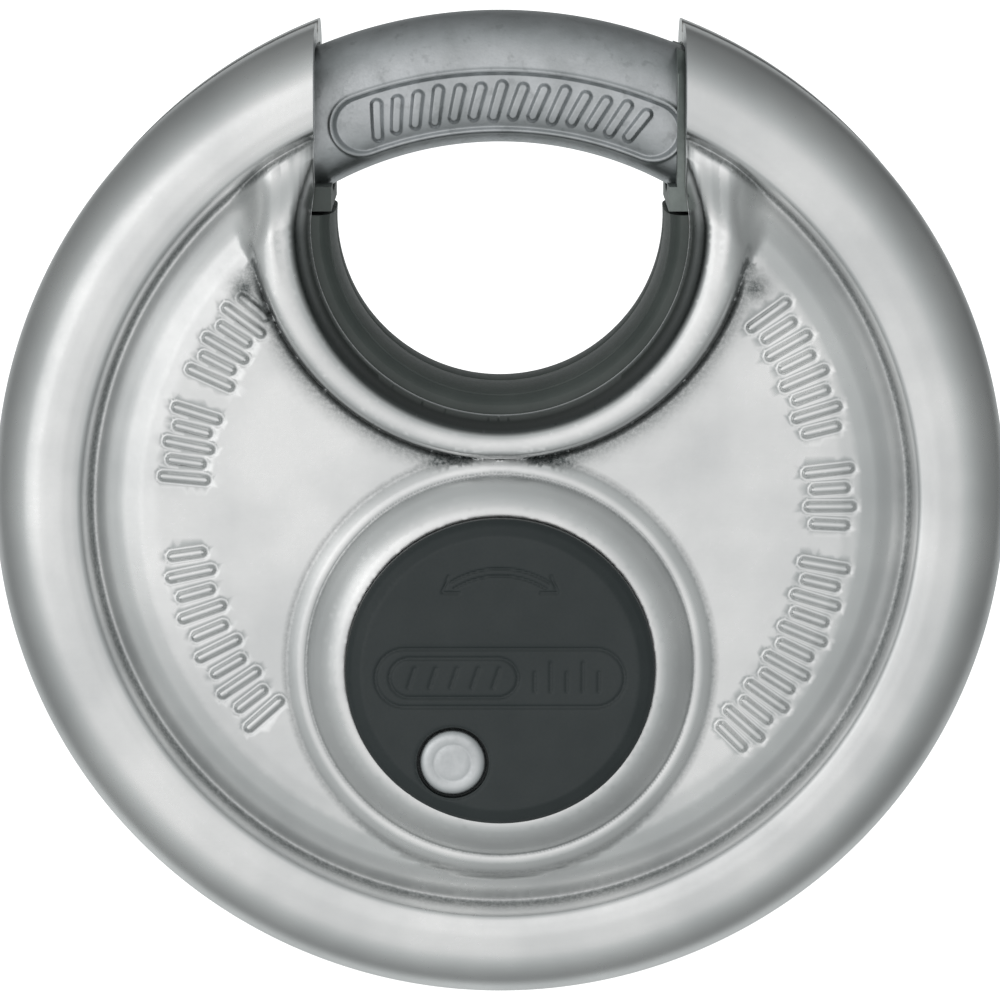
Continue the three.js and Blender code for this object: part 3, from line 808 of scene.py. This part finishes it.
STAINLESS = pressed_stainless()
SHACKLE_STEEL = blasted_shackle()
WELD = weld_metal()
LINER = moulded("liner_black_plastic", (0.079, 0.094, 0.087), (0.094, 0.110, 0.102), 0.45)
COVER = moulded("cover_black_plastic", (0.024, 0.033, 0.034), (0.029, 0.038, 0.039), 0.46)
BUSH = metal("bush_grey_metal", (0.27, 0.30, 0.285), (0.21, 0.235, 0.225), 0.45)
RIVET = metal("rivet_steel", (0.66, 0.68, 0.69), (0.58, 0.60, 0.61), 0.36)
ZINC = metal("zinc_core", (0.45, 0.46, 0.47), (0.36, 0.37, 0.38), 0.55, 1.6, 0.00002)
HARDENED = metal("hardened_steel", (0.34, 0.35, 0.36), (0.27, 0.28, 0.29), 0.38)
BRASS = metal("machined_brass", (0.70, 0.55, 0.27), (0.62, 0.47, 0.22), 0.32)

# ---------- shells ----------

front_shell = shell("front_shell_pressing", -1)
settle(front_shell, "case", ["front_shell"], STAINLESS)
rear_shell = shell("rear_shell_pressing", 1)
settle(rear_shell, "case", ["rear_shell"], STAINLESS)


def weld_bead():
    count, across = 720, 9
    rng = random.Random(7)
    bumps = [rng.uniform(-1, 1) for _ in range(count + 1)]
    rows = []
    for j in range(count + 1):
        for i in range(across):
            t = math.pi * i / (across - 1)
            ripple = 0.035 * math.sin(j * 1.9) + 0.03 * bumps[j]
            r = 39.2 + (0.74 + ripple * math.sin(t)) * math.sin(t)
            h = (1.15 + 0.04 * bumps[j]) * math.cos(t)
            start = math.asin(MOUTH_R / r)
            angle = start + (2 * math.pi - 2 * start) * j / count
            rows.append((r * math.sin(angle), h, r * math.cos(angle)))
    n = across
    faces = []
    for j in range(count):
        for i in range(n - 1):
            faces.append([j * n + i, j * n + i + 1, (j + 1) * n + i + 1, (j + 1) * n + i])
    faces += [[(j + 1) * n, (j + 1) * n + n - 1, j * n + n - 1, j * n] for j in range(count)]
    faces += [list(range(n)), [count * n + i for i in range(n)][::-1]]
    piece = build("rim_weld_bead", to_world(rows, 1), faces)
    tidy_mesh(piece, 50)
    return piece


settle(weld_bead(), "case", ["rim_weld"], WELD)

# ---------- throat liner and bushes ----------

# Radius and height of the liner's inner face, from its front edge to the fine seam in the middle
LINER_HALF = [(14.45, 7.0), (14.15, 6.98), (13.98, 6.86), (13.72, 6.5), (13.56, 6.12), (13.5, 6.02)]
LINER_HALF += [(13.48, 5.9), (13.38, 5.82), (13.26, 5.2), (13.12, 4.4), (13.04, 3.4), (13.0, 2.2)]
LINER_HALF += [(13.0, 0.42), (13.05, 0.3), (13.22, 0.16)]
LINER_BACK = [(16.2, -7.0), (16.3, -6.9), (16.3, 6.9), (16.2, 7.0)]
LINER_PROFILE = LINER_HALF + [(r, -h) for r, h in LINER_HALF[::-1]] + LINER_BACK
LINER_RISE = 0.88  # how far the liner runs on above the middle of the throat's round bottom


def liner_ends(r):
    """Half the angle that the liner spans at a radius, so that both ends are level."""
    return np.arccos(-LINER_RISE / r)


liner = lathe(
    "throat_liner_moulding",
    LINER_PROFILE,
    (0, THROAT_Z),
    stop=180,
    segments=110,
    sharp=24,
    ends=liner_ends,
)
settle(liner, "case", ["throat_liner"], LINER)


def cleaned(name, node):
    """A copy of a CAD node with its flat areas merged and its round areas shaded smooth."""
    mesh = frame["nodes"][node].data.copy()
    piece = bpy.data.objects.new(name, mesh)
    bpy.context.scene.collection.objects.link(piece)
    bpy.context.view_layer.objects.active = piece
    piece.select_set(True)
    bpy.ops.object.mode_set(mode="EDIT")
    bpy.ops.mesh.select_all(action="SELECT")
    bpy.ops.mesh.remove_doubles(threshold=2e-6)
    bpy.ops.mesh.dissolve_limited(angle_limit=math.radians(1.5))
    bpy.ops.object.mode_set(mode="OBJECT")
    bpy.ops.object.shade_smooth_by_angle(angle=math.radians(25))
    piece.select_set(False)
    return piece


for side in ("left", "right"):
    bush = cleaned(f"shackle_bush_{side}_block", f"shackle_bush_{side}")
    slot, material = ("liner_plastic", LINER) if side == "left" else ("bush_metal", BUSH)
    settle(bush, "case", [f"shackle_bush_{side}"], material)

# ---------- shackle ----------

PAD_R, PAD_MID, PAD_HALF, PAD_WIDTH = 31.35, math.radians(1.1), 13.84, 2.25
PAD_BARS = [(-10.4 + 1.6 * i, 1.2 if i % 3 else 1.35) for i in range(14)]


def shackle_surface(a, p):
    """Angle round the case and angle round the bar, both in radians, to points (x, h, z)."""
    power = np.where(np.cos(p) < 0, 2.9, 2.65)
    size = BAR_R / (np.abs(np.cos(p)) ** power + np.abs(np.sin(p)) ** power) ** (1 / power)
    from_end = np.minimum(a - math.radians(TOE), math.radians(HEEL) - a) * SHACKLE_R
    size = size * (0.8 + 0.2 * np.sqrt(np.clip(1 - (1 - np.clip(from_end / 1.6, 0, 1)) ** 2, 0, 1)))
    r = SHACKLE_R + size * np.cos(p)
    h = size * np.sin(p)
    for i in range(5):
        off = (a - math.radians(180 - i * NOTCH_STEP)) * NOTCH_CIRCLE_R
        depth = NOTCH_CIRCLE_R + np.sqrt(np.clip(NOTCH_HALF**2 - off**2, 0, None))
        r = np.where((np.abs(off) < NOTCH_HALF) & (r < depth), np.minimum(depth, SHACKLE_R), r)
    s = (a - PAD_MID) * PAD_R
    across = r - PAD_R
    on_front = ramp(0.15, 0.5, np.sin(p))
    gap = np.hypot(np.maximum(np.abs(s) - (PAD_HALF - PAD_WIDTH), 0), across) - PAD_WIDTH
    floor = 0.40 * (1 - ramp(-0.26, 0.1, gap)) - 0.10 * np.exp(-(((gap - 0.24) / 0.16) ** 2))
    for at, half in PAD_BARS:
        d = capsule(s, across, at - 0.35, -half * 0.9, at + 0.35, half * 0.9)
        floor = floor - 0.33 * (1 - ramp(0.22, 0.56, d))
    h = h - floor * on_front
    return np.stack([r * np.sin(a), h, r * np.cos(a)], 1)


def shackle_bar():
    fine = np.arange(-28.5, 28.5, 0.15)
    heel = np.arange(70, HEEL, 0.45)
    coarse = [np.arange(TOE + 4, -28.5, 1.3), np.arange(28.5, 70, 1.6)]
    end = np.array([0, 0.05, 0.15, 0.35, 0.7, 1.2, 2.0])
    around = np.concatenate([TOE + end, *coarse, fine, heel[heel < HEEL - 2.5], HEEL - end])
    around = np.radians(np.unique(np.round(around, 4)))
    front = np.linspace(40, 140, 100)
    rest = np.linspace(140, 400, 44)
    p = np.radians(np.unique(np.round(np.concatenate([front[:-1], rest[:-1] % 360]), 4)))
    n, m = len(p), len(around)
    a_all = np.repeat(around, n)
    p_all = np.tile(p, m)
    points = shackle_surface(a_all, p_all)
    normals = differences(shackle_surface, a_all, p_all, 0.0006)
    faces = []
    for j in range(m - 1):
        for i in range(n):
            k = (i + 1) % n
            faces.append([j * n + i, j * n + k, (j + 1) * n + k, (j + 1) * n + i])
    smooth_count = len(faces)
    faces += [list(range(n))[::-1], [(m - 1) * n + i for i in range(n)]]
    middle = np.stack([SHACKLE_R * np.sin(a_all), 0 * a_all, SHACKLE_R * np.cos(a_all)], 1)
    outward = points - middle
    flip = (normals * outward).sum(1) < 0
    normals[flip] *= -1
    normals[:, 1] *= -1
    piece = build("shackle_bar", to_world(points, -1), faces, range(smooth_count, len(faces)))
    tidy_orientation(piece)
    set_normals(piece.data, normals)
    return piece


settle(shackle_bar(), "shackle", ["shackle"], SHACKLE_STEEL)

# ---------- keyhole cover, rivet and face plate ----------


def engraving(x, z):
    """Depth of the engraved marks on the cover: two long ovals, a turning arrow and short ticks."""
    zc = z - PLUG_Z

    def oval(x0, x1, z0, z1):
        half = (z1 - z0) / 2
        mid = (z0 + z1) / 2
        return np.abs(capsule(x, zc, x0 + half, mid, x1 - half, mid) - half)

    def groove(d, depth, width):
        return depth * np.exp(-((d / width) ** 2))

    cut = groove(oval(-9.7, 9.7, -2.6, 2.0), 0.13, 0.15)
    cut = np.maximum(cut, groove(oval(-8.6, 1.4, -1.85, 1.25), 0.13, 0.15))
    arc_z, arc_r = 1.08, 6.98
    angle = np.arctan2(x, zc - arc_z)
    bow = np.where(np.abs(angle) < math.radians(33), np.abs(np.hypot(x, zc - arc_z) - arc_r), 9)
    cut = np.maximum(cut, groove(np.abs(bow - 0.28), 0.11, 0.11))
    for sign in (-1, 1):
        tip, back = math.radians(40) * sign, math.radians(31) * sign
        tip_at = (arc_r * math.sin(tip), arc_z + arc_r * math.cos(tip))
        for reach in (-0.75, 0.75):
            wing = ((arc_r + reach) * math.sin(back), arc_z + (arc_r + reach) * math.cos(back))
            cut = np.maximum(cut, groove(capsule(x, zc, *tip_at, *wing), 0.12, 0.12))
    for i in range(5):
        at = -6.9 + 1.65 * i
        cut = np.maximum(cut, groove(capsule(x, zc, at - 0.25, -1.05, at + 0.25, 0.45), 0.11, 0.17))
    for i in range(5):
        at = 2.7 + 1.25 * i
        cut = np.maximum(cut, groove(capsule(x, zc, at, -1.35, at, 0.9 if i % 2 else 0.1), 0.11, 0.15))
    return cut


COVER_EDGE = rounded_path(
    [(0, COVER_FRONT_H), (10.85, COVER_FRONT_H), (11.75, COVER_BACK_H + 1.0), (COVER_R, COVER_BACK_H + 0.6)]
    + [(COVER_R, COVER_BACK_H)],
    blur=0.09,
)
SEAT_R = RIVET_R + 0.2


def cover_surface(a, b):
    zb = b - PLUG_Z
    rho = np.maximum(np.hypot(a, zb), 1e-9)
    r = np.interp(rho, COVER_EDGE[0], COVER_EDGE[1])
    h = np.interp(rho, COVER_EDGE[0], COVER_EDGE[2])
    x, z = a / rho * r, zb / rho * r + PLUG_Z
    h = h - engraving(x, z)
    rr = np.hypot(x - RIVET_X, z - RIVET_Z) - SEAT_R
    h = h - 0.12 * np.exp(-((rr / 0.14) ** 2))
    return np.stack([x, h, z], 1)


def keyhole_cover():
    reach = COVER_EDGE[0][-1]
    rim = circle(0, PLUG_Z, reach, 0.45)
    hole = circle(RIVET_X, RIVET_Z, SEAT_R, 0.2)
    inner = []
    for radius in (10.2, 10.5, 10.7, 10.85, 11.0, 11.25, 11.6, 12.0, 12.15, 12.3, 12.5):
        inner += circle(0, PLUG_Z, radius, 0.42)
    for radius in (2.93, 3.05, 3.25, 3.6):
        inner += circle(RIVET_X, RIVET_Z, radius, 0.25)
    inner += [(x, z + PLUG_Z) for x, z in hex_grid(0.165, -10, 10, -2.9, 2.3)]
    inner += [(x, z + PLUG_Z) for x, z in hex_grid(0.165, -5.6, 5.6, 5.4, 9.0)]
    inner += [(x, z + PLUG_Z) for x, z in hex_grid(0.7, -12, 12, -12, 12)]
    x, z = np.array(inner).T
    fits = (np.hypot(x, z - PLUG_Z) < reach - 0.1) & (np.hypot(x - RIVET_X, z - RIVET_Z) > SEAT_R + 0.05)

    def keep(px, pz):
        return np.hypot(px - RIVET_X, pz - RIVET_Z) > SEAT_R

    flat, tris, fixed = triangulated([rim, hole], np.array(inner)[fits], keep)
    top = cover_surface(flat[:, 0], flat[:, 1])
    normals = differences(cover_surface, flat[:, 0], flat[:, 1])
    faces = [list(t) for t in tris]
    smooth_count = len(faces)
    count = len(flat)
    rim_ids, hole_ids = list(fixed[: len(rim)]), list(fixed[len(rim) :])
    seat_h = COVER_BACK_H + 0.7
    seat = [(x, seat_h, z) for x, z in hole]
    bore = [((x - RIVET_X) * 0.5 + RIVET_X, seat_h, (z - RIVET_Z) * 0.5 + RIVET_Z) for x, z in hole]
    bore_back = [(x, COVER_BACK_H, z) for x, _, z in bore]
    points = np.concatenate([top, seat, bore, bore_back])
    n = len(hole)
    rings = [hole_ids] + [list(range(count + k * n, count + (k + 1) * n)) for k in range(3)]
    for upper, lower in zip(rings[:-1], rings[1:]):
        faces += [[upper[i], upper[(i + 1) % n], lower[(i + 1) % n], lower[i]] for i in range(n)]
    # The back is a flat ring between the rim and the bore, cut into two halves.
    m = len(rim)
    half_m, half_n = m // 2, n // 2
    near = rings[-1]
    for rim_span, near_span in (
        (range(half_m + 1), range(half_n, -1, -1)),
        (range(half_m, m + 1), range(n, half_n - 1, -1)),
    ):
        faces.append([rim_ids[i % m] for i in rim_span] + [near[i % n] for i in near_span])
    all_normals = np.full(points.shape, np.nan)
    facing = normals * np.array([1, -1, 1])
    turn = np.where(facing[:, 1] > 0, -1, 1)
    all_normals[:count] = facing * turn[:, None]
    piece = build("keyhole_cover_moulding", to_world(points, -1), faces, range(smooth_count, len(faces)))
    tidy_orientation(piece)
    set_normals(piece.data, all_normals)
    return piece


settle(keyhole_cover(), "cover", ["keyhole_cover"], COVER)

rivet_profile = [(0, 14.55), (0.9, 14.55), (1.34, 14.55), (1.44, 14.52), (1.54, 14.55), (1.9, 14.58)]
rivet_profile += [(2.15, 14.57), (2.36, 14.48), (2.5, 14.36), (2.6, 14.24), (RIVET_R, 14.1)]
rivet_profile += [(RIVET_R, 13.8), (1.3, 13.8), (1.3, 10.2), (0, 10.2)]
rivet = lathe("cover_rivet_head", rivet_profile, (RIVET_X, RIVET_Z), segments=64, sharp=35)
settle(rivet, "case", ["cover_rivet"], RIVET)

plate_profile = [(3.8, 12.2), (4.1, 12.4), (5.6, 12.4), (5.75, 12.3), (5.9, 12.4), (8.3, 12.4)]
plate_profile += [(8.45, 12.3), (8.6, 12.4), (10.6, 12.4), (10.9, 12.1), (10.9, 10.8), (13.1, 10.8)]
plate_profile += [(13.1, 9.2), (3.8, 9.2)]
plate = lathe("face_plate_turned", plate_profile, (0, PLUG_Z), segments=96, sharp=30)
settle(plate, "case", ["face_plate"], HARDENED)

# ---------- CAD nodes that stay, with their finishes ----------

discs = [f"detainer_disc_{i}" for i in range(1, 6)]
spacers = [f"disc_spacer_{i}" for i in range(1, 5)]
hard = ["cylinder_dowel", "keyway_disc", "sidebar", "shackle_driver", "driver_clip", "cover_washer"]
for names, material in (
    (["core_front", "core_rear"], ZINC),
    (["core_rivet_left", "core_rivet_right"], RIVET),
    (["cylinder_housing", "disc_carrier"] + discs, BRASS),
    (spacers + hard, HARDENED),
):
    for node in names:
        cad = frame["nodes"][node]
        cad.data.materials.clear()
        cad.data.materials.append(material)

# ---------- floor, light and camera ----------


def stage_floor():
    size = 6.0
    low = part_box("front_shell")[0].z - 0.00005
    mesh = bpy.data.meshes.new("floor")
    corners = [(-size, -size, low), (size, -size, low), (size, size, low), (-size, size, low)]
    mesh.from_pydata(corners, [], [(0, 1, 2, 3)])
    floor = bpy.data.objects.new("floor", mesh)
    bpy.context.scene.collection.objects.link(floor)
    material = bpy.data.materials.new("pale_floor")
    material.use_nodes = True
    shader = material.node_tree.nodes["Principled BSDF"]
    shader.inputs["Base Color"].default_value = (0.85, 0.85, 0.85, 1)
    shader.inputs["Roughness"].default_value = 0.9
    shader.inputs["Specular IOR Level"].default_value = 0.0
    shader.inputs["Emission Color"].default_value = (1, 1, 1, 1)
    shader.inputs["Emission Strength"].default_value = 1.0
    floor.data.materials.append(material)
    floor.visible_glossy = False
    floor.visible_diffuse = False


stage_floor()


def studio_world():
    """Soft studio light: bright in front, dimmer to the sides, and plain white where the camera sees it."""
    world = bpy.data.worlds.new("studio")
    bpy.context.scene.world = world
    world.use_nodes = True
    tree = world.node_tree
    tree.nodes.clear()
    out = tree.nodes.new("ShaderNodeOutputWorld")
    coords = tree.nodes.new("ShaderNodeTexCoord")

    def lobe(axis, steps):
        """Brightness by the angle from an axis, in (degrees, value) steps."""
        dot = tree.nodes.new("ShaderNodeVectorMath")
        dot.operation = "DOT_PRODUCT"
        dot.inputs[1].default_value = Vector(axis).normalized()
        tree.links.new(coords.outputs["Generated"], dot.inputs[0])
        share = tree.nodes.new("ShaderNodeMapRange")
        share.inputs["From Min"].default_value = -1
        share.inputs["From Max"].default_value = 1
        tree.links.new(dot.outputs["Value"], share.inputs["Value"])
        stops = tree.nodes.new("ShaderNodeValToRGB")
        ramp_stops = stops.color_ramp.elements
        while len(ramp_stops) < len(steps):
            ramp_stops.new(0.5)
        for stop, (angle, value) in zip(ramp_stops, steps):
            stop.position = (math.cos(math.radians(angle)) + 1) / 2
            cool = 1.0 if value > 0.6 else 1.04
            stop.color = (value / cool, value, value, 1)
        tree.links.new(share.outputs["Result"], stops.inputs["Fac"])
        return stops.outputs["Color"]

    front = [(180, 0.08), (150, 0.12), (128, 0.21), (95, 0.29), (70, 0.42), (45, 0.60)]
    front += [(22, 0.84), (0, 1.10)]
    back = [(180, 0), (52, 0), (25, 0.5), (0, 0.5)]
    total = tree.nodes.new("ShaderNodeVectorMath")
    total.operation = "ADD"
    tree.links.new(lobe((-0.22, -1.0, 0.08), front), total.inputs[0])
    tree.links.new(lobe((0, 0.894, -0.447), back), total.inputs[1])
    lit = tree.nodes.new("ShaderNodeBackground")
    tree.links.new(total.outputs["Vector"], lit.inputs["Color"])
    plain = tree.nodes.new("ShaderNodeBackground")
    plain.inputs["Color"].default_value = (1, 1, 1, 1)
    rays = tree.nodes.new("ShaderNodeLightPath")
    choose = tree.nodes.new("ShaderNodeMixShader")
    tree.links.new(rays.outputs["Is Camera Ray"], choose.inputs["Fac"])
    tree.links.new(lit.outputs["Background"], choose.inputs[1])
    tree.links.new(plain.outputs["Background"], choose.inputs[2])
    tree.links.new(choose.outputs["Shader"], out.inputs["Surface"])


studio_world()


def softbox(name, direction, distance, size, radiance):
    """A square area light that faces the middle of the case, from a direction, with a given brightness."""
    light = bpy.data.lights.new(name, "AREA")
    light.shape = "SQUARE"
    light.size = size
    light.energy = radiance * math.pi * size * size
    lamp = bpy.data.objects.new(name, light)
    bpy.context.scene.collection.objects.link(lamp)
    middle = Vector(DISC * MM)
    away = Vector(direction).normalized()
    lamp.location = middle + away * distance
    lamp.rotation_euler = away.to_track_quat("Z", "Y").to_euler()
    return lamp


softbox("key_left", (-0.8, -1.0, 0.12), 0.7, 0.45, 0.38)

CAMERA_DISTANCE = 0.400
CAMERA_ELEVATION = math.radians(9.0)
FRAME_WIDTH = 0.0803  # what the picture spans at the case's mid plane
AIM_BELOW = 0.00104  # how far below the case's middle the picture's middle lies


def make_camera():
    camera = bpy.data.objects.new("camera", bpy.data.cameras.new("camera"))
    bpy.context.scene.collection.objects.link(camera)
    toward = Vector((0, -math.cos(CAMERA_ELEVATION), math.sin(CAMERA_ELEVATION)))
    up = Vector((0, math.sin(CAMERA_ELEVATION), math.cos(CAMERA_ELEVATION)))
    aim = Vector(DISC * MM) - up * AIM_BELOW
    camera.location = aim + toward * CAMERA_DISTANCE
    camera.rotation_euler = toward.to_track_quat("Z", "Y").to_euler()
    camera.data.angle = 2 * math.atan(FRAME_WIDTH / 2 / CAMERA_DISTANCE)
    camera.data.clip_start = 0.01
    camera.data.clip_end = 20
    bpy.context.scene.camera = camera


make_camera()
bpy.context.scene.view_settings.view_transform = "Standard"
